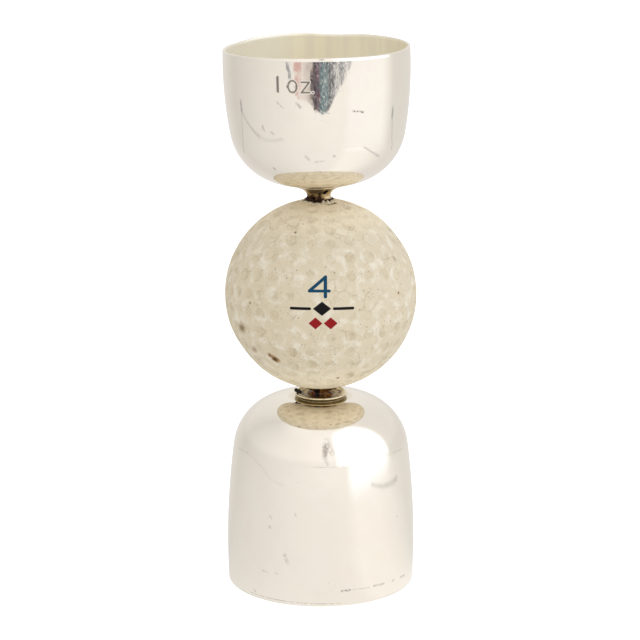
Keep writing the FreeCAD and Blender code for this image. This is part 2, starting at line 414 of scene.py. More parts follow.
def addCard(name, mesh, finish):  # seen in the silver only, never straight from the camera
    card = meshObject(name, mesh, finish)
    card.visible_camera = False
    card.visible_shadow = False


# The sheet that the silver sees below it is darker than the floor shown. A second card, with the same light
# drawn in by "nearer", has a ragged end in front, past which lies a darker room in many tints. Places are
# azimuth and distance; "edges" are creases with a half width and a strength
sheet = {
    "low": 0.3 * mm, "up": 32.5 * mm, "nearer": 0.69, "nearness": 3.68,
    "card": [(-46, 1.9), (-46, 0.12), (0, 0.15), (55, 0.13), (104, 0.12), (104, 1.9), (55, 1.9), (5, 1.9)],
    "ends": [(-46.8, 0), (-38, 3.8), (-33, 8.6), (-22, 12.7), (-10, 13.3), (-3, 15.4), (8, 16.6), (14, 14.8),
             (22, 11.3), (32, 7.8), (42, 4.8), (50, 1.0), (57.6, 0)],
    "endsScale": 20, "endsFade": (0.0, 0.35), "ragged": 1.6,
    "edges": [((-108, 0.37), (-80, 0.242), 3 * mm, 0.65), ((-80, 0.242), (-44, 0.218), 3 * mm, 0.3),
              ((-108, 0.37), (-130, 0.188), 2.6 * mm, 0.7), ((108, 0.37), (127, 0.195), 2.6 * mm, 0.75),
              ((108, 0.37), (108, 0.41), 9 * mm, 0.85), ((-108, 0.37), (-108, 0.41), 9 * mm, 0.9),
              ((104, 0.13), (64, 0.185), 5 * mm, 0.45)],
    "edgeTone": (0.3, 0.31, 0.33), "edgeSoft": 1.2,
}
beyond = {
    "from": -36, "span": 80, "flecksFrom": (0.4, 0.5),
    "grains": [(5, 4, 0.65, 1.6), (1.5, 3, 0.6, 2.4)], "streakBend": 0.3,  # size, detail, roughness, pull
    "pale": (0.95, 0.94, 0.92), "dark": (0.05, 0.05, 0.06),
    "tints": [(0.0, (0.45, 0.46, 0.5)), (0.035, (0.28, 0.28, 0.32)), (0.05, (0.85, 0.83, 0.82)),
              (0.11, (0.88, 0.84, 0.8)), (0.14, (0.7, 0.45, 0.42)), (0.19, (0.68, 0.46, 0.42)),
              (0.22, (0.85, 0.78, 0.75)), (0.36, (0.6, 0.54, 0.5)), (0.385, (0.26, 0.22, 0.22)),
              (0.41, (0.06, 0.055, 0.07)), (0.47, (0.2, 0.11, 0.15)), (0.5, (0.08, 0.17, 0.2)),
              (0.58, (0.24, 0.33, 0.36)), (0.64, (0.1, 0.1, 0.12)), (0.7, (0.4, 0.4, 0.43)),
              (0.76, (0.85, 0.83, 0.82)), (0.82, (0.3, 0.31, 0.35)), (0.88, (0.9, 0.88, 0.86)),
              (0.95, (0.45, 0.48, 0.54)), (1.0, (0.95, 0.93, 0.92))],
}


def sheetLight(nodes, nearer, window):  # window is 1 where the sheet carries the window's light far out
    x, y = [axis / nearer for axis in nodes.axes(nodes.place(), "XY")]
    azimuth = degreesRound(x, y)
    reach = (x * x + y * y) ** 0.5
    lit = azimuth.rise(*room["litFrom"]) * azimuth.fall(*room["litTo"])
    glow = nodes.mix(lit, levelsRound(nodes, azimuth, room["around"]), room["litFloor"])
    glow = nodes.mix(reach.rise(*room["nearFloor"]), levelsRound(nodes, azimuth, room["below"]), glow)
    glow = nodes.mix(lit * reach.rise(*room["farFloor"]) * window, glow, room["window"])
    for start, end, halfWidth, strength in sheet["edges"]:
        first = spotAt(*start, 0)
        last = spotAt(*end, 0)
        edge = lineMask(x, y, first, last, halfWidth, halfWidth * sheet["edgeSoft"])
        glow = nodes.mix(edge * strength, glow, sheet["edgeTone"])
    return glow


def roomBeyond(glow):  # the room's colour, and how much of it shows past the sheet's end
    x, y = glow.axes(glow.place(), "XY")
    azimuth = degreesRound(x, y)
    nearness = sheet["nearness"] / (x * x + y * y) ** 0.5
    streaks, crumbs = [glow.grain(size, detail, roughness, glow.joined(azimuth, nearness * pull))
                       for size, detail, roughness, pull in beyond["grains"]]
    across = (azimuth - beyond["from"]) / beyond["span"] + (streaks - 0.5) * beyond["streakBend"]
    tone = glow.node("ShaderNodeValToRGB", {"stops": beyond["tints"]}, {0: across})
    flecked = across.rise(*beyond["flecksFrom"])
    tone = glow.mix(crumbs.rise(0.54, 0.6) * flecked * 0.75, tone, beyond["pale"])
    tone = glow.mix(crumbs.fall(0.4, 0.46) * flecked * 0.85, tone, beyond["dark"])
    ends = [(roundShare(at), (near / sheet["endsScale"],) * 3) for at, near in sheet["ends"]]
    limit = glow.node("ShaderNodeValToRGB", {"stops": [(0.0, (0, 0, 0))] + ends}, {0: roundShare(azimuth)})
    limit = glow.node("ShaderNodeSeparateColor", None, {0: limit}) * sheet["endsScale"]
    shown = limit - nearness + (streaks - 0.5) * sheet["ragged"] * 2 + (crumbs - 0.5) * sheet["ragged"]
    return tone, shown.rise(*sheet["endsFade"])


belowGlow = glowFinish("sheetBelow")
belowGlow.set("Emission Color", sheetLight(belowGlow, 1.0, 1.0))
addCard("sheetBelow", disc(sheet["low"]), belowGlow)

beyondGlow = glowFinish("roomBeyond")
roomTone, roomShown = roomBeyond(beyondGlow)
sheetTone = sheetLight(beyondGlow, sheet["nearer"], 0.0)
beyondGlow.set("Emission Color", beyondGlow.mix(roomShown, sheetTone, roomTone))
corners = [spotAt(azimuth, distance, sheet["up"]) for azimuth, distance in sheet["card"]]
addCard("beyondSheet", panel(corners), beyondGlow)

# Someone standing behind the camera, as a soft ragged shade
stand = {"from": (0.06, -0.74, 0.22), "to": (0.11, -0.72, 0.85), "width": 0.17, "shade": (0.55, 0.5, 0.48),
         "clear": (0.92, 0.89, 0.86), "ragSize": 0.05, "ragged": 1.8, "middle": 0.07, "leans": 0.03}
standGlow = glowFinish("standShade")
standX, standZ = standGlow.axes(standGlow.place(), "XZ")
rags = standGlow.grain(stand["ragSize"], detail=4, roughness=0.7)
aside = abs(standX - stand["middle"] - standZ * stand["leans"]) / (stand["width"] / 2)
thick = (1 - aside * 0.9) * standZ.rise(0.2, 0.45) * standZ.fall(0.6, 0.85) + (rags - 0.5) * stand["ragged"]
standGlow.set("Emission Color", standGlow.mix(thick.rise(0.3, 0.75), stand["clear"], stand["shade"]))
start = Vector(stand["from"])
end = Vector(stand["to"])
side = Vector((stand["width"] / 2, 0, 0))
addCard("standShade", panel([start - side / 2, start + side / 2, end + side, end - side]), standGlow)
print("studio ready")


silver = {
    "clean": (0.94, 0.905, 0.83), "dull": (0.895, 0.85, 0.755), "rosy": (0.945, 0.885, 0.825),
    "inside": (0.98, 0.94, 0.79), "pale": (0.99, 0.98, 0.93), "litSideFall": (-12, -3),
    "dirtAndShade": (0.16, 0.135, 0.12), "seatTarnishAndShade": (0.75, 0.63, 0.4), "seatFootShade": (0.13, 0.085, 0.03),
    "roughness": 0.03, "haze": 0.04, "insideMetal": 0.55, "insideRoughness": 0.25,
    "scratchRoughness": 0.08, "tarnishRoughness": 0.14,
    "tarnishSize": 24 * mm, "cloudSize": 4 * mm, "rosySize": 8 * mm, "crumbSize": 0.45 * mm,
    "spots": (1.5 * mm, (0.03, 0.075), 7 * mm, (0.56, 0.66)), "reflectionStreakSize": (2.2 * mm, 2.2 * mm, 60 * mm),
    "waves": (6 * mm, 0.008 * mm), "pits": (0.4 * mm, 0.0006 * mm),  # size and depth
    "scratchDepth": 0.001 * mm, "markPerDegree": 0.35,
    "scratches": [((0.5, 0.4, 0), (9 * mm, 0.3 * mm, 0.3 * mm), (0.62, 0.7)),
                  ((0.1, -0.7, 0.6), (0.25 * mm, 0.3 * mm, 7 * mm), (0.64, 0.71))],
}


def silverFinish(name, marks=(), middle=Vector(), turn=0.0, seatAt=None):
    # marks are strokes and spots: from and to as azimuth and height above middle in mm, half width, strength
    finish = Finish(name)
    x, y, z = finish.mmAxes(middle, (0, turn, 0))
    azimuth = degreesRound(x, y)
    inside = finish.carried("inside")
    outside = 1 - inside
    perDegree = silver["markPerDegree"]
    tarnish = finish.patches(silver["tarnishSize"]).rise(0.42, 0.78)
    cloud = finish.grain(silver["cloudSize"], detail=5, roughness=0.65)
    rosy = finish.grain(silver["rosySize"]).rise(0.4, 0.65)
    crumbs = finish.grain(silver["crumbSize"])
    # upright streaks painted into the lining, as painted reflections of the room
    reflectionStreaks = finish.grain(1.0, vector=finish.mapped(scale=silver["reflectionStreakSize"])).rise(0.35, 0.7)
    finish.colour = silver["clean"]
    finish.coat(rosy * 0.7, silver["rosy"])
    finish.coat(tarnish * 0.45 + cloud.rise(0.4, 0.8) * 0.25, silver["dull"])
    lining = finish.mix(reflectionStreaks * 0.7, silver["inside"], silver["dull"])
    # painted light: the lining is paler on its left side
    lining = finish.mix(x.fall(*silver["litSideFall"]) * 0.7, lining, silver["pale"])
    finish.coat(inside, lining)
    for start, end, halfWidth, strength in marks:
        along = azimuth * perDegree + (cloud - 0.5) * halfWidth * 2.4 + (crumbs - 0.5) * halfWidth * 3
        up = z + (crumbs - 0.5) * halfWidth * 2
        first = (start[0] * perDegree, start[1])
        last = (end[0] * perDegree + 0.01, end[1])  # never quite a point
        mark = lineMask(along, up, first, last, halfWidth, halfWidth * 0.95)
        finish.coat(mark * strength * crumbs.rise(0.3, 0.6) * outside, silver["dirtAndShade"])
    finish.coat(finish.flecks(*silver["spots"]) * 0.4 * outside, silver["dirtAndShade"])
    finish.coat(finish.carried("stamp") * 0.8, silver["dirtAndShade"])
    hairs = [finish.grain(1.0, detail=2, vector=finish.mapped(turn=turned, scale=size)).rise(*limits)
             for turned, size, limits in silver["scratches"]]
    hair = hairs[0].most(hairs[1])
    roughness = silver["roughness"] + cloud * silver["haze"] + hair * silver["scratchRoughness"]
    roughness = roughness + inside * silver["insideRoughness"]
    if seatAt is not None:  # tarnish and painted shade round the seat, and a painted shadow line at its foot
        reach = (x * x + y * y) ** 0.5
        top = z.rise(seatAt - 2, seatAt - 1)
        near = (reach + (cloud - 0.5) * 1.2).fall(6.0, 7.6) * top
        roughness = roughness + near * silver["tarnishRoughness"]
        finish.coat(near * 0.4, silver["seatTarnishAndShade"])
        # a painted shadow line where the seat's foot meets the dome
        line = (reach + (crumbs - 0.5) * 0.5).fall(5.15, 5.5) * top
        finish.coat(line * 0.85, silver["seatFootShade"])
    finish.set("Metallic", 1 - inside * (1 - silver["insideMetal"]))
    wavy = finish.bumps(*silver["waves"], detail=1)
    pits = finish.bumps(*silver["pits"], below=wavy)
    return finish.end(roughness, finish.bump(hair, silver["scratchDepth"], pits))


# Wall, shoulder and dome are arcs. The rim's knocks are in "bent": azimuth, reach in degrees, rise
smallCup = {"depth": 29.5 * mm, "belly": 19.7 * mm, "bellyDepth": 3.8 * mm, "wallArc": 85 * mm,
            "shoulderArc": 13 * mm, "domeArc": 43 * mm, "rimZ": rimHeight, "side": -1, "seed": 5,
            "bent": [(0, 55, 0.28 * mm), (-92, 50, -0.4 * mm), (-160, 28, 0.12 * mm), (168, 22, -0.3 * mm),
                     (-120, 20, -0.15 * mm)]}
largeCup = {"depth": 41 * mm, "belly": 20.4 * mm, "bellyDepth": 8.2 * mm, "wallArc": 170 * mm,
            "shoulderArc": 11.9 * mm, "domeArc": 300 * mm, "rimZ": 0.0, "side": 1, "seed": 3,
            "bent": []}
cupMesh = {"wall": 0.6 * mm, "shy": 0.02 * mm, "lipRise": 0.12 * mm, "segments": 192, "wallRows": 30,
           "shoulderRows": 20, "domeRows": 14, "lipRows": 8, "bentReach": 7 * mm,
           "dentSize": 11 * mm, "dentDepth": 0.05 * mm, "rimFade": 4 * mm, "poleFade": 3 * mm}


def cupSkin(cup, inset):  # rim, wall-to-shoulder, shoulder-to-dome and axis points of one skin
    wallCentre = Vector((cup["belly"] - cup["wallArc"], cup["bellyDepth"]))
    domeCentre = Vector((0, cup["depth"] - cup["domeArc"]))
    toWall = cup["wallArc"] - cup["shoulderArc"]
    toDome = cup["domeArc"] - cup["shoulderArc"]
    span = domeCentre - wallCentre
    along = (toWall ** 2 - toDome ** 2 + span.length_squared) / (2 * span.length)
    aside = math.sqrt(toWall ** 2 - along ** 2)
    across = Vector((-span.y, span.x)).normalized() * aside
    middle = wallCentre + span.normalized() * along
    shoulder = max(middle + across, middle - across, key=lambda point: point.x)
    reach = cup["shoulderArc"] - inset
    wallRadius = cup["wallArc"] - inset
    points = {
        "wallCentre": wallCentre,
        "domeCentre": domeCentre,
        "shoulder": shoulder,
        "rim": Vector((wallCentre.x + math.sqrt(wallRadius ** 2 - wallCentre.y ** 2), 0)),
        "low": shoulder + (shoulder - wallCentre).normalized() * reach,
        "high": shoulder + (shoulder - domeCentre).normalized() * reach,
        "pole": Vector((0, cup["depth"] - inset)),
    }
    return {name: (point.x, cup["rimZ"] + cup["side"] * point.y) for name, point in points.items()}


def turnedCup(cup):
    rows = cupMesh
    outer = cupSkin(cup, 0)
    inner = cupSkin(cup, rows["wall"])
    line = Outline(*outer["pole"])
    line.arcTo(*outer["domeCentre"], *outer["high"], rows["domeRows"])
    line.arcTo(*outer["shoulder"], *outer["low"], rows["shoulderRows"])
    lipX = (outer["rim"][0] + inner["rim"][0]) / 2
    lipZ = cup["rimZ"] + cup["side"] * (rows["lipRise"] + rows["shy"])
    line.arcTo(*outer["wallCentre"], outer["rim"][0], lipZ, rows["wallRows"])
    for step in range(1, rows["lipRows"] + 1):
        turn = math.pi * step / rows["lipRows"]
        lipRise = cup["side"] * rows["lipRise"] * math.sin(turn)
        line.lineTo(lipX + (outer["rim"][0] - lipX) * math.cos(turn), lipZ - lipRise)
    line.arcTo(*inner["wallCentre"], *inner["low"], rows["wallRows"])
    line.arcTo(*inner["shoulder"], *inner["high"], rows["shoulderRows"])
    line.arcTo(*inner["domeCentre"], *inner["pole"], rows["domeRows"])
    mesh = line.turned(rows["segments"])
    mesh.normal_update()
    inside = mesh.verts.layers.float.new("inside")
    heart = Vector((0, 0, cup["rimZ"] + cup["side"] * cup["depth"] / 3))
    for vert in mesh.verts:
        vert[inside] = 1.0 if vert.normal.dot(vert.co - heart) < 0 else 0.0
        dent = (noise.noise(vert.co / rows["dentSize"] + seedShift(cup["seed"])) - 1) / 2  # inwards
        fromRim = abs(vert.co.z - cup["rimZ"])
        share = min(1, fromRim / rows["rimFade"]) * min(1, (cup["depth"] - fromRim) / rows["poleFade"])
        narrower = 1 + dent * share * rows["dentDepth"] / cup["belly"]
        vert.co.x *= narrower
        vert.co.y *= narrower
        nearRim = bulge(fromRim / rows["bentReach"])
        for azimuth, reach, height in cup["bent"]:
            vert.co.z += height * nearRim * bulge(turnedFrom(azimuth, vert.co) / reach)
    return mesh


capacityMark = {"azimuth": -23.6, "base": 6.8 * mm, "depth": 0.14 * mm, "halfStroke": 0.14 * mm,
                "soft": 0.13 * mm, "patch": (-1 * mm, 8.6 * mm, -0.8 * mm, 4.4 * mm), "cuts": 7,
                "letterO": (3.1, 1.4, 0.9, 1.2), "ringSteps": 24, "skin": 0.45 * mm}


def markStrokes():  # "1 oz." as plain strokes, in mm along the wall and up from the line it stands on
    one = [((0, 0.2), (0, 3.3))]
    steps = capacityMark["ringSteps"]
    turns = [step * 2 * math.pi / steps for step in range(steps + 1)]
    x, z, halfWidth, halfHeight = capacityMark["letterO"]
    ounce = [(x + halfWidth * math.cos(turn), z + halfHeight * math.sin(turn)) for turn in turns]
    zed = [(4.98, 2.3), (6.62, 2.3), (4.98, 0.2), (6.62, 0.2)]
    stop = [((7.3, 0.2), (7.34, 0.2))]
    return one + list(zip(ounce, ounce[1:])) + list(zip(zed, zed[1:])) + stop


def strokeDistance(point, start, end):
    run = end - start
    share = clamped((point - start).dot(run) / run.length_squared)
    return (point - start - run * share).length


def stampMark(mesh, cup, mark):
    strokes = [(Vector(first) * mm, Vector(last) * mm) for first, last in markStrokes()]
    outerSkin = cup["belly"] - mark["skin"]
    base = cup["rimZ"] - mark["base"]
    start = math.radians(mark["azimuth"])
    left, right, low, high = mark["patch"]

    def flat(point):  # along the wall from the "1", and up from the base line
        return Vector(((math.atan2(point.x, -point.y) - start) * cup["belly"], point.z - base))

    def inPatch(face):
        middle = face.calc_center_median()
        spot = flat(middle)
        outside = math.hypot(middle.x, middle.y) > outerSkin
        return outside and left < spot.x < right and low < spot.y < high

    stamp = mesh.verts.layers.float.new("stamp")
    patch = [face for face in mesh.faces if inPatch(face)]
    edges = list({edge for face in patch for edge in face.edges})
    made = bmesh.ops.subdivide_edges(mesh, edges=edges, cuts=mark["cuts"], use_grid_fill=True)
    for vert in {part for part in made["geom_inner"] if isinstance(part, bmesh.types.BMVert)}:
        away = min(strokeDistance(flat(vert.co), first, last) for first, last in strokes)
        share = eased((mark["halfStroke"] + mark["soft"] - away) / mark["soft"])
        scale = 1 - mark["depth"] * share / math.hypot(vert.co.x, vert.co.y)
        vert.co.x *= scale
        vert.co.y *= scale
        vert[stamp] = share


# Strokes and spots on the silver, as silverFinish takes them
smallCupMarks = [((22, 42.4), (28.8, 42.0), 0.18, 0.9), ((-35.8, 39.2), (-35, 38.2), 0.2, 0.4),
                 ((-30, 38.1), (-28, 37.7), 0.2, 0.35), ((-33.2, 30.1), (-33, 29.9), 0.25, 0.5),
                 ((-8, 33.2), (-6, 32.5), 0.25, 0.3), ((-2, 32.0), (4, 32.1), 0.2, 0.25),
                 ((10.5, 33.2), (10.8, 33.1), 0.22, 0.5), ((-24.5, 44.5), (-20.5, 43.3), 0.2, 0.3),
                 ((-12, 44.3), (-10, 43.6), 0.25, 0.5)]
largeCupMarksAndLipShade = [((-21.8, 11.3), (-20, 9.6), 0.35, 0.35), ((12.8, 3.5), (17.8, 3.6), 0.22, 0.6),
                 ((17.8, 3.6), (31, 3.4), 0.1, 0.3), ((34, 3.55), (41.8, 3.4), 0.2, 0.5),
                 ((50, 3.35), (51, 3.4), 0.2, 0.4), ((58, 3.2), (63, 3.1), 0.22, 0.45),
                 ((54, 17.5), (54.5, 17.4), 0.2, 0.35), ((-32.5, 19.3), (-31.5, 18.9), 0.2, 0.3),
                 ((-32.2, 17), (-31.8, 16.8), 0.25, 0.35), ((-15.8, 20.6), (-15.4, 20.2), 0.2, 0.3),
                 ((-38, 6.8), (-34, 6.6), 0.16, 0.3), ((-28.5, 6.9), (-27, 6.7), 0.16, 0.3),
                 ((-45, 1.6), (-44, 1.5), 0.3, 0.35), ((4.5, 35.8), (7.5, 33.8), 0.6, 0.3),
                 # the last stroke is a painted shade line along the rounded lip
                 ((2.8, 33), (4, 31.5), 0.4, 0.25), ((-48, 0.85), (12, 0.75), 0.1, 0.4)]
upperMesh = turnedCup(smallCup)
stampMark(upperMesh, smallCup, capacityMark)
smallSilver = silverFinish("smallCupSilver", smallCupMarks, ballCentre, lean)
addPiece("small_cup", leaned(upperMesh), smallSilver, ["upper_cup"])
lowerMesh = turnedCup(largeCup)
lowerMesh.verts.layers.float.new("stamp")
largeSilver = silverFinish("largeCupSilver", largeCupMarksAndLipShade, seatAt=largeCup["depth"] / mm)
addPiece("large_cup", lowerMesh, largeSilver, ["lower_cup"])
print("cups ready")


ball = {
    "rows": 9, "tilt": 5.6, "spread": 4.5, "dimple": 2.95 * mm, "depth": 0.32 * mm, "edgeCuts": 1,
    "rings": (1.14, 0.94, 0.5), "sinkPower": 1.25, "toneEdge": 0.2, "room": 0.96, "firstInset": 0.05 * mm,
    "unevenSize": 7 * mm, "uneven": 0.16 * mm,
    "flats": [((80, 42), 9 * mm, 0.3 * mm), ((62, 62), 6 * mm, 0.2 * mm), ((-85, -38), 8 * mm, 0.2 * mm)],
}
ballTurn = (math.radians(-ball["tilt"]), 0, 0)
ballTilt = Matrix.Rotation(ballTurn[0], 3, "X")


def ballDirection(point):  # from a point of the octahedron to a direction from the ball's centre
    way = Vector([math.copysign(math.sin(abs(part) * math.pi / 2), part) for part in point]).normalized()
    fromFront = math.acos(max(-1, min(1, -way.y)))
    turnedTo = fromFront + math.radians(ball["spread"]) * math.cos(fromFront)
    aside = Vector((way.x, 0, way.z))
    if aside.length > 1e-6:
        way = aside.normalized() * math.sin(turnedTo) + Vector((0, -math.cos(turnedTo), 0))
    return ballTilt @ way


def dimpleSink(reach):  # share of the full depth at a share of the dimple's radius
    return max(0, 1 - (reach / ball["rings"][0]) ** 2) ** ball["sinkPower"]


def dimpleTone(reach):  # 1 over the dimple's floor, 0 at its edge
    return eased((ball["rings"][0] - reach) / ball["toneEdge"])


def dimpledBall():
    mesh = bmesh.new()
    bmesh.ops.create_uvsphere(mesh, u_segments=4, v_segments=2, radius=1)
    steps = 2 * ball["rows"] + 1
    bmesh.ops.subdivide_edges(mesh, edges=mesh.edges[:], cuts=steps - 1, use_grid_fill=True)

    def isDimple(vert):
        counts = [round(abs(part) * steps) for part in vert.co]
        return all(count % 2 for count in counts) and max(counts) < steps - 2

    bmesh.ops.dissolve_verts(mesh, verts=[vert for vert in mesh.verts if isDimple(vert)])
    bmesh.ops.subdivide_edges(mesh, edges=mesh.edges[:], cuts=ball["edgeCuts"], use_grid_fill=True)
    dimples = [face for face in mesh.faces if len(face.verts) > 4]
    middles = {}
    for face in dimples:
        middles[face] = ballDirection(sum((vert.co for vert in face.verts), Vector()) / len(face.verts))
    for vert in mesh.verts:
        vert.co = ballDirection(vert.co) * ballRadius
    halfDimple = ball["dimple"] / 2 / ballRadius
    fits = {}  # a dimple too wide for its cell is drawn in
    for face in dimples:
        nearest = min(vert.co.angle(middles[face]) for vert in face.verts)
        fits[face] = min(1, nearest * ball["room"] / (ball["rings"][0] * halfDimple))
    hollow = mesh.verts.layers.float.new("hollow")
    for reach in ball["rings"]:
        bmesh.ops.inset_individual(mesh, faces=dimples, thickness=ball["firstInset"])
        radius = ballRadius - ball["depth"] * dimpleSink(reach)
        for face in dimples:
            middle = middles[face]
            angle = reach * halfDimple * fits[face]
            for vert in face.verts:
                aside = (vert.co - middle * vert.co.dot(middle)).normalized()
                vert.co = (middle * math.cos(angle) + aside * math.sin(angle)) * radius
                vert[hollow] = dimpleTone(reach)
    for vert in bmesh.ops.poke(mesh, faces=dimples)["verts"]:
        vert.co = vert.co.normalized() * (ballRadius - ball["depth"])
        vert[hollow] = 1.0
    bmesh.ops.recalc_face_normals(mesh, faces=mesh.faces[:])
    for vert in mesh.verts:
        out = vert.co.normalized()
        sink = (1 - noise.noise(out * ballRadius / ball["unevenSize"])) * ball["uneven"] / 2
        for (azimuth, elevation), reach, depth in ball["flats"]:
            sink += depth * bulge((out - wayTo(azimuth, elevation)).length * ballRadius / reach)
        vert.co -= out * sink
    bmesh.ops.translate(mesh, verts=mesh.verts[:], vec=ballCentre)
    print("dimples", len(dimples))
    return mesh


paint = {
    "cream": (0.70, 0.625, 0.475), "light": (0.84, 0.80, 0.69), "shade": (0.55, 0.475, 0.32),
    "bright": (0.93, 0.83, 0.62), "tan": (0.3, 0.175, 0.06), "dirtAndShade": (0.035, 0.014, 0.005),
    "blue": (0.001, 0.055, 0.12), "black": (0.003, 0.002, 0.003), "red": (0.28, 0.006, 0.01),
    "roughness": 0.5, "roughVaries": 0.25, "paintedLightFrom": (12, 19),
    "cloudSize": 9 * mm, "mottleSize": 1.5 * mm, "blotchSize": 3.4 * mm, "lightSize": 2.2 * mm,
    # size and edge, then the size and edge of the patches that they lie in
    "specks": (1.2 * mm, (0.06, 0.15), 1.7 * mm, (0.51, 0.57)),
    "fine": (0.6 * mm, (0.1, 0.26), 3.5 * mm, (0.5, 0.6)),
    "cracks": (4.6 * mm, (0.0, 0.035), 6 * mm, (0.55, 0.65)), "scuffSize": 3.3 * mm,
    "swirlScale": 300, "swirl": 2.2 * mm,
    "peel": (0.6 * mm, 0.02 * mm), "lumps": (2.4 * mm, 0.14 * mm), "crackDepth": 0.03 * mm,
    # what is printed on the front, in mm: strokes with a half width, then diamonds with half sizes
    "prints": [("blue", [((0.95, 6.25), (-2.35, 3.45), 0.33), ((-2.35, 3.45), (1.75, 3.45), 0.3),
                         ((0.95, 6.25), (0.95, 2.3), 0.36)], []),
               ("black", [((-6.1, -0.2), (-2.3, -0.2), 0.3), ((2.8, -0.2), (6.6, -0.2), 0.3)],
                [((0.25, -0.2), 1.9, 1.5)]),
               ("red", [], [((-1.1, -3.3), 1.45, 1.3), ((2.05, -3.3), 1.45, 1.3)])],
    # azimuth and elevation, radius in mm, strength
    "stains": [((-33, -31.5), 0.9, 1.0), ((-36.5, -28.5), 0.6, 0.9), ((-57, -13.6), 1.1, 0.5),
               ((-50, -27), 0.8, 0.4), ((59.4, 28.7), 0.6, 0.3), ((53.4, 8.6), 0.3, 1.0),
               ((14.8, -46.7), 0.25, 1.0), ((-24, 51), 0.3, 0.8), ((-46, 4), 0.3, 0.5),
               ((31, 55), 0.4, 0.5), ((-80, 81), 0.5, 0.8), ((-21, 80.6), 0.45, 0.9),
               ((-26, 79), 0.3, 0.9), ((28, 81), 0.5, 0.9), ((36, 79.5), 0.3, 0.7), ((52, 80), 0.6, 0.9)],
}


def addPrints(finish):  # upright on the ball's front, square to its tilt
    x, y, z = finish.mmAxes(ballCentre, ballTurn)
    for tint, strokes, diamonds in paint["prints"]:
        masks = [lineMask(x, z, *stroke) for stroke in strokes]
        masks += [diamondMask(x, z, *diamond) for diamond in diamonds]
        shape = masks[0]
        for mask in masks[1:]:
            shape = shape.most(mask)
        finish.coat(shape * y.fall(-1, 0), paint[tint])


def ballFinish():
    finish = Finish("creamBallPaint", IOR=1.45, Specular_IOR_Level=0.2)
    z, = finish.mmAxes(ballCentre, ballTurn, "Z")
    hollow = finish.carried("hollow")
    cloud = finish.grain(paint["cloudSize"], detail=4)
    mottle = finish.grain(paint["mottleSize"], detail=4, roughness=0.65)
    blotch = finish.grain(paint["blotchSize"], detail=2)
    light = finish.grain(paint["lightSize"]).rise(0.46, 0.7)
    # random mottling, with painted shade over the dimples' floors
    dirtAndShade = hollow * (blotch * 0.3 + cloud * 0.25 + 0.1) + (cloud - 0.5) * 1.7 + (mottle - 0.5) * 2.2
    dirtAndShade = dirtAndShade.rise(0.0, 1.1)
    finish.colour = paint["cream"]
    finish.coat(light * 0.75, paint["light"])
    finish.coat(dirtAndShade * 0.85, paint["shade"])
    # a painted highlight along the dimples' rims
    rimHighlight = hollow.fall(0.45, 0.9) * hollow.rise(0.02, 0.3)
    finish.coat(rimHighlight * mottle.rise(0.38, 0.55) * 0.4, paint["light"])
    # painted shade on the dimples' inner slopes
    slopeShade = hollow.fall(0.8, 1.0) * hollow.rise(0.5, 0.8)
    finish.coat(slopeShade * mottle.fall(0.42, 0.62) * 0.35, paint["shade"])
    # painted light near both poles, in place of the light the silver cups throw back on the ball
    paintedPoleLight = finish.mix(dirtAndShade * 0.6, paint["bright"], paint["shade"])
    finish.coat(abs(z).rise(*paint["paintedLightFrom"]) * 0.85, paintedPoleLight)
    finish.coat(cloud.rise(0.6, 0.8) * hollow * 0.3, paint["tan"])
    finish.coat(finish.flecks(*paint["specks"]) * 0.75, paint["dirtAndShade"])
    finish.coat(finish.flecks(*paint["fine"]) * 0.5, paint["tan"])
    inputs = {"Vector": finish.place(), "Scale": paint["swirlScale"]}
    swirl = finish.scaled(finish.node("ShaderNodeTexNoise", None, inputs, "Color"), paint["swirl"])
    bent = finish.node("ShaderNodeVectorMath", {"operation": "ADD"}, {0: finish.place(), 1: swirl})
    cracks = finish.flecks(*paint["cracks"], "DISTANCE_TO_EDGE", bent)
    finish.coat(cracks * 0.3, paint["tan"])
    scuffs = finish.cells(paint["scuffSize"], "DISTANCE_TO_EDGE", bent).fall(0.0, 0.05)
    scuffs = scuffs * mottle.rise(0.48, 0.58) * blotch.rise(0.45, 0.6)
    finish.coat(scuffs * 0.35, paint["light"])
    for (azimuth, elevation), radius, strength in paint["stains"]:
        away = finish.away(ballCentre + wayTo(azimuth, elevation) * ballRadius)
        ragged = away / mm + (mottle - 0.5) * radius * 2 + (cloud - 0.5) * radius
        finish.coat(ragged.fall(radius * 0.6, radius * 1.6) * strength, paint["tan"])
        finish.coat(ragged.fall(radius * 0.1, radius * 0.9) * strength, paint["dirtAndShade"])
    addPrints(finish)
    peel = finish.bumps(*paint["peel"])
    lumps = finish.bumps(*paint["lumps"], below=peel)
    roughness = paint["roughness"] + (mottle - 0.5) * paint["roughVaries"]
    return finish.end(roughness, finish.bump(cracks, -paint["crackDepth"], lumps))


addPiece("golf_ball", dimpledBall(), ballFinish(), ["ball_cover"])
print("ball ready")


def plainFinish(name, colour, roughness, metallic=0.0, size=1 * mm, dark=0.6, gloss=0.5):
    finish = Finish(name, Metallic=metallic, Specular_IOR_Level=gloss)
    patch = finish.patches(size)
    finish.colour = colour
    finish.coat(patch.rise(0.35, 0.7), tuple(part * dark for part in colour))
    return finish.end(roughness + (patch - 0.5) * 0.3, finish.bumps(size / 3, size * 0.02))


def ring(radius, height, halfWidth, halfHeight, sides, segments):  # its section is a flattened circle
    mesh = bmesh.new()
    bmesh.ops.create_circle(mesh, segments=sides, radius=1)
    upright = Matrix.Rotation(math.pi / 2, 3, "X")
    bmesh.ops.rotate(mesh, verts=mesh.verts[:], cent=(0, 0, 0), matrix=upright)
    bmesh.ops.scale(mesh, verts=mesh.verts[:], vec=(halfWidth, 1, halfHeight))
    bmesh.ops.translate(mesh, verts=mesh.verts[:], vec=(radius, 0, height))
    return turnedRound(mesh, segments)


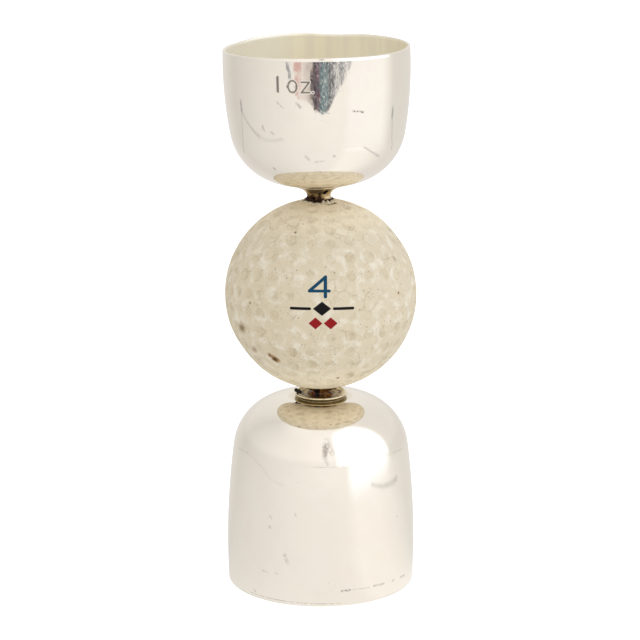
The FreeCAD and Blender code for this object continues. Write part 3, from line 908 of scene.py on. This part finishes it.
def roughen(mesh, size, height, seed):  # lumps in and out along the normals
    mesh.normal_update()
    for vert in mesh.verts:
        vert.co += vert.normal * noise.fractal(vert.co / size + seedShift(seed), 1.0, 2.0, 3) * height


ballTop = ballCentre.z + ballRadius
ballBottom = ballCentre.z - ballRadius
bowlBottom = rimHeight - smallCup["depth"]
domeTop = largeCup["depth"]

collar = {
    "foot": 2.8 * mm, "neck": 2.5 * mm, "neckUp": 0.8 * mm, "film": 0.1 * mm, "core": 1.5 * mm,
    "segments": 128,
    "flareLine": [(2.56, 1.15), (2.75, 1.55), (3.08, 1.95), (3.6, 2.32), (4.3, 2.66), (5.1, 2.96),
                  (6.3, 3.42)],  # radius and height above the ball, in mm
    "rimIn": (5.0 * mm, 0.45 * mm), "coreUp": 0.15 * mm,
    "pits": [((27, 2.0 * mm), 0.9 * mm, 0.32 * mm), ((31, 2.1 * mm), 0.6 * mm, 0.3 * mm),
             ((-24, 0.6 * mm), 0.45 * mm, 0.12 * mm)],  # azimuth and height, reach, depth
    "plate": (0.9, 0.78, 0.55), "worn": (0.6, 0.43, 0.2), "brown": (0.42, 0.25, 0.07),
    "footDarkening": (0.06, 0.025, 0.01), "pitDirt": (0.012, 0.006, 0.005), "seam": (0.12, 0.08, 0.03),
    "seamUp": 2.95,
    "patchSize": 0.9 * mm, "grain": (0.5 * mm, 0.05 * mm),
}


def turnedCollar():
    line = Outline(collar["core"], ballTop + collar["film"])
    line.lineTo(collar["foot"], ballTop + collar["film"], 3)
    line.lineTo(collar["neck"], ballTop + collar["neckUp"], 6)
    for radius, up in collar["flareLine"]:
        line.lineTo(radius * mm, ballTop + up * mm, 3)
    line.lineTo(collar["rimIn"][0], bowlBottom + collar["rimIn"][1], 2)
    line.lineTo(collar["core"], bowlBottom + collar["coreUp"], 3)
    line.lineTo(collar["core"], ballTop + collar["film"], 3)
    mesh = line.turned(collar["segments"])
    bmesh.ops.smooth_vert(mesh, verts=mesh.verts[:], factor=0.5,
                          use_axis_x=True, use_axis_y=True, use_axis_z=True)
    pit = mesh.verts.layers.float.new("pit")
    for vert in mesh.verts:
        for (azimuth, up), reach, depth in collar["pits"]:
            radius = math.hypot(vert.co.x, vert.co.y)
            share = bulge((vert.co - spotAt(azimuth, radius, ballTop + up)).length / reach)
            vert[pit] = max(vert[pit], share)
            vert.co -= outward(vert.co) * share * depth
    return mesh


def collarFinish():
    finish = Finish("tarnishedCollar", Metallic=1.0)
    x, z = finish.mmAxes((0, 0, ballTop), wanted="XZ")
    patch = finish.patches(collar["patchSize"])
    uneven = patch - 0.5
    finish.colour = collar["plate"]
    finish.coat(patch.rise(0.4, 0.7) * 0.6, collar["worn"])
    mid = (z + uneven * 1.6).fall(1.2, 2.4) * x.fall(0.6, 2.2)
    finish.coat(mid * 0.65, collar["brown"])
    # darker towards the foot, reaching a little higher on the left
    low = (z + uneven * 3.2 + x * 0.25).fall(0.2, 1.2)
    finish.coat(low * 0.9, collar["footDarkening"])
    seam = abs(z - collar["seamUp"] + uneven * 0.3).fall(0.05, 0.16) * patch.rise(0.42, 0.55)
    finish.coat(seam * 0.8, collar["seam"])
    finish.coat(finish.carried("pit").rise(0.1, 0.45), collar["pitDirt"])
    return finish.end(0.2 + patch * 0.2 + low * 0.2, finish.bumps(*collar["grain"], detail=3))


addPiece("collar", leaned(turnedCollar()), collarFinish(), ["upper_collar"])

# Glue squeezed out round the collar's foot, and the ball's cover torn up round it
topJoint = {
    "glueRing": 2.7 * mm, "glueUp": 0.06 * mm, "glueHalf": (0.36 * mm, 0.24 * mm), "glueFrom": 0.1 * mm,
    "glueSides": (14, 160), "glueRough": (0.8 * mm, 0.12 * mm, 2),  # size, height and seed of lumps
    "lumpReach": 13, "lumpRise": 3.4, "lumpOut": 0.25 * mm,
    "lumps": [(-62, 0.4), (-38, 0.6), (-24, 0.2), (2, 0.8), (14, 0.2), (150, 0.45), (230, 0.35)],
    "lipRing": 3.2 * mm, "lipHalf": (0.5 * mm, 0.22 * mm), "lipSunk": 0.16 * mm,
    "lipSides": (16, 192), "lipRough": (0.5 * mm, 0.15 * mm, 7),
    "tearSize": 0.9 * mm, "tear": 0.8, "flapRise": 1.2,
    "flaps": [(-58, 12, 0.7), (-32, 9, 0.5), (-6, 9, 0.6), (17, 11, 2.0), (36, 11, 1.6), (58, 9, 0.8),
              (-110, 20, 0.8), (150, 25, 0.7)],  # azimuth, reach in degrees, size
    "glue": (0.035, 0.012, 0.005), "torn": (0.9, 0.81, 0.6),
}


def upperGlueMesh():
    height = ballTop + topJoint["glueUp"]
    mesh = ring(topJoint["glueRing"], height, *topJoint["glueHalf"], *topJoint["glueSides"])
    for vert in mesh.verts:
        swell = sum(size * bulge(turnedFrom(azimuth, vert.co) / topJoint["lumpReach"])
                    for azimuth, size in topJoint["lumps"])
        vert.co.z += max(0, vert.co.z - ballTop + topJoint["glueFrom"]) * swell * topJoint["lumpRise"]
        vert.co += outward(vert.co) * swell * topJoint["lumpOut"]
    roughen(mesh, *topJoint["glueRough"])
    return mesh


def tornLipMesh():
    mesh = ring(topJoint["lipRing"], 0, *topJoint["lipHalf"], *topJoint["lipSides"])
    for vert in mesh.verts:
        flat = Vector((vert.co.x, vert.co.y, 0))
        flap = noise.noise(flat / topJoint["tearSize"]) * topJoint["tear"]
        flap += sum(size * bulge(turnedFrom(azimuth, flat) / reach)
                    for azimuth, reach, size in topJoint["flaps"])
        vert.co.z += max(0, vert.co.z) * flap * topJoint["flapRise"]
        vert.co.z += ballTop - flat.length_squared / (2 * ballRadius) - topJoint["lipSunk"]
    roughen(mesh, *topJoint["lipRough"])
    return mesh


darkGlue = plainFinish("darkGlue", topJoint["glue"], 0.4, dark=0.3, gloss=0.12)
addPiece("upper_glue", leaned(upperGlueMesh()), darkGlue, ["upper_adhesive"])
tornPaint = plainFinish("tornPaint", topJoint["torn"], 0.5, size=0.6 * mm, dark=0.45, gloss=0.3)
addPiece("torn_lip", leaned(tornLipMesh()), tornPaint)

seat = {
    "lip": 5.7 * mm, "lipWidth": 0.55 * mm, "height": 0.9 * mm, "foot": 5.0 * mm, "floor": 0.4 * mm,
    "floorRadius": 2.4 * mm, "core": 1.5 * mm, "sunk": 0.05 * mm, "segments": 160,
    "bright": (0.92, 0.83, 0.62), "worn": (0.55, 0.42, 0.2), "underLipShade": (0.25, 0.19, 0.07),
    "dish": (0.75, 0.58, 0.28), "streak": (0.09, 0.05, 0.015), "patchSize": 1.1 * mm,
    "waves": (0.8 * mm, 0.03 * mm),
}


def turnedSeat():
    bead = seat["lipWidth"] / 2
    beadX = seat["lip"] - bead
    beadZ = domeTop + seat["height"] - bead
    floorZ = domeTop + seat["floor"]
    line = Outline(seat["core"], domeTop - seat["sunk"])
    line.lineTo(seat["foot"] - 0.1 * mm, domeTop - 0.1 * mm, 4)
    line.lineTo(seat["foot"] + 0.05 * mm, domeTop + 0.1 * mm, 2)
    line.lineTo(beadX, beadZ - bead, 4)
    line.arcTo(beadX, beadZ, beadX + bead, beadZ, 5)
    line.arcTo(beadX, beadZ, beadX, beadZ + bead, 5)
    line.arcTo(beadX, beadZ, beadX - bead * 0.9, beadZ + bead * 0.3, 4)
    line.lineTo(seat["floorRadius"], floorZ, 8)
    line.lineTo(seat["core"], floorZ, 3)
    line.lineTo(seat["core"], domeTop - seat["sunk"], 2)
    return line.turned(seat["segments"])


def seatFinish():
    finish = Finish("brightSeatPlate", Metallic=1.0)
    x, y, z = finish.mmAxes((0, 0, domeTop))
    patch = finish.patches(seat["patchSize"])
    finish.colour = seat["bright"]
    finish.coat(patch.rise(0.45, 0.7) * 0.6, seat["worn"])
    # painted shade on the seat below the height of its lip
    finish.coat(z.fall(0.6, 0.68) * 0.9, seat["underLipShade"])
    reach = (x * x + y * y) ** 0.5
    dish = reach.fall(4.9, 5.2) * z.rise(0.2, 0.35)
    finish.coat(dish * 0.5, seat["dish"])
    streak = (patch + reach.maths("SINE", reach * 5) * 0.08).rise(0.47, 0.56)
    finish.coat(dish * streak * 0.85, seat["streak"])
    return finish.end(0.13 + patch * 0.14 + dish * 0.2, finish.bumps(*seat["waves"]))


addPiece("dished_seat", turnedSeat(), seatFinish(), ["lower_seat"])

# Brown glue between the seat and the ball, with a drop that bridges to the lip at the left
brownGlue = {
    "puddle": 2.7 * mm, "waist": 1.8 * mm, "neck": 3.3 * mm, "segments": 112,
    "rough": (1.1 * mm, 0.32 * mm, 11),
    "blobs": [(-72, 5.0 * mm, 0.5 * mm, 1.35 * mm), (-77, 5.35 * mm, 0.3 * mm, 1.6 * mm),
              (-66, 4.7 * mm, 0.36 * mm, 1.2 * mm)],  # azimuth, distance, size, height on the dome
    "amber": (0.33, 0.15, 0.035), "burnt": (0.04, 0.012, 0.005), "red": (0.22, 0.02, 0.015),
    "redAt": -1.5, "redFall": (41.9, 42.2), "stem": (0.008, 0.005, 0.006), "stemAt": -0.8,
    "drop": (0.012, 0.005, 0.005), "dropFall": (-4.1, -3.7),
    "patchSize": 1.5 * mm, "grain": (0.6 * mm, 0.06 * mm),
}


def lowerGlueMesh():
    puddle, waist, neck = brownGlue["puddle"], brownGlue["waist"], brownGlue["neck"]
    floorZ = domeTop + seat["floor"]
    line = Outline(0, floorZ - 0.05 * mm)
    line.lineTo(puddle, floorZ + 0.05 * mm, 6)
    line.lineTo(waist + 0.3 * mm, floorZ + 0.3 * mm, 3)
    line.lineTo(waist, (floorZ + ballBottom) / 2 - 0.1 * mm, 8)
    line.lineTo(neck, ballBottom - 0.35 * mm, 4)
    line.lineTo(neck + 0.5 * mm, ballBottom + 0.55 * mm, 8)
    line.lineTo(0, ballBottom + 0.6 * mm, 6)
    mesh = line.turned(brownGlue["segments"])
    for azimuth, reach, size, up in brownGlue["blobs"]:
        blob = bmesh.ops.create_icosphere(mesh, subdivisions=4, radius=size)["verts"]
        bmesh.ops.translate(mesh, verts=blob, vec=spotAt(azimuth, reach, domeTop + up))
    roughen(mesh, *brownGlue["rough"])
    return mesh


def brownGlueFinish():
    finish = Finish("brownGlue", IOR=1.5, Specular_IOR_Level=0.3)
    x, y, z = finish.mmAxes()
    patch = finish.patches(brownGlue["patchSize"])
    finish.colour = brownGlue["amber"]
    finish.coat(patch.rise(0.4, 0.62), brownGlue["burnt"])
    red = abs(x - brownGlue["redAt"]).fall(0.2, 0.5) * z.fall(*brownGlue["redFall"])
    finish.coat(red * 0.7, brownGlue["red"])
    stem = abs(x - brownGlue["stemAt"]).fall(0.3, 0.6) * y.fall(-1, 0)
    finish.coat(stem * 0.95, brownGlue["stem"])
    finish.coat(x.fall(*brownGlue["dropFall"]), brownGlue["drop"])
    return finish.end(0.15 + patch * 0.2, finish.bumps(*brownGlue["grain"], detail=3))


addPiece("lower_glue", lowerGlueMesh(), brownGlueFinish(), ["lower_adhesive"])
print("joints ready")

carriedLooks = {  # finish name, colour, roughness, metallic
    "upper_solder": ("upperSolder", (0.62, 0.55, 0.43), 0.3, 1.0),
    "lower_solder": ("lowerSolder", (0.45, 0.38, 0.25), 0.35, 1.0),
    "upper_stud": ("upperStudSteel", (0.3, 0.25, 0.2), 0.45, 1.0),
    "lower_stud": ("lowerStudSteel", (0.12, 0.09, 0.08), 0.4, 1.0),
    "ball_windings": ("rubberThread", (0.55, 0.42, 0.26), 0.8, 0.0),
    "centre_sac": ("sacRubber", (0.12, 0.11, 0.1), 0.8, 0.0),
    "centre_paste": ("centrePaste", (0.62, 0.6, 0.55), 0.7, 0.0),
}
for name, look in carriedLooks.items():
    nodes[name].data.materials.clear()
    nodes[name].data.materials.append(plainFinish(*look).material)
print("carried pieces ready")

bpy.context.view_layer.update()
print("object ready")
